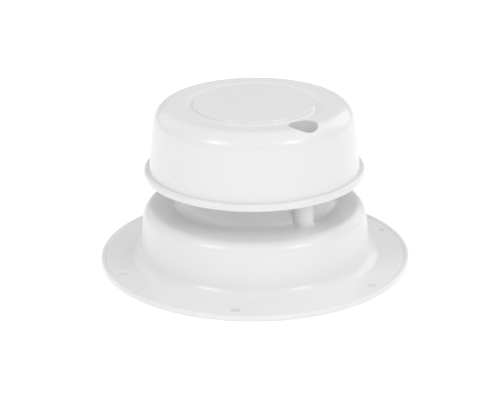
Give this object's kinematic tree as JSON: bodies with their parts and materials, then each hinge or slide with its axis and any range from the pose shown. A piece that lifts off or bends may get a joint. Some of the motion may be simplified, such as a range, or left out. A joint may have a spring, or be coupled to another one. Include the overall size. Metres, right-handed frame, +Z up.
{
  "type": "round roof vent",
  "caption": "Mushroom-shaped roof vent: a flanged base with a raised shoulder and pipe collar, under a dome cap that stands on posts and lifts off when its screw is out.",
  "frame": {"origin": "centre of the flange's underside, where it rests on the roof", "axes": "+Z up through the cap, -Y towards the front, +X to the right seen from the front"},
  "size_m": [0.184, 0.184, 0.0973],
  "materials": {
    "white_plastic": "moulded gloss white",
    "stainless_steel": "satin",
    "black_rubber": "matt"
  },
  "bodies": {
    "base": {"base": "white_plastic"},
    "cap": {"cap": "white_plastic"},
    "washers": {"flat_washer": "stainless_steel", "sealing_washer": "black_rubber"},
    "screw": {"cap_screw": "stainless_steel"}
  },
  "joints": [
    {"name": "cap_lift", "type": "slide", "parent": "base", "child": "cap", "axis": [0, 0, 1], "range_m": [0, 0.06]},
    {"name": "screw_lift", "type": "slide", "parent": "cap", "child": "washers", "axis": [0, 0, 1], "range_m": [0, 0.0208]},
    {"name": "screw_turn", "type": "hinge", "parent": "washers", "child": "screw", "pos_m": [0.02689, -0.03855, 0.0828], "axis": [0, 0, 1], "range_deg": [0, 4680]}
  ],
  "couplings": [
    {"joint": "screw_turn", "follows": "screw_lift", "rad_per_m": 3927}
  ]
}
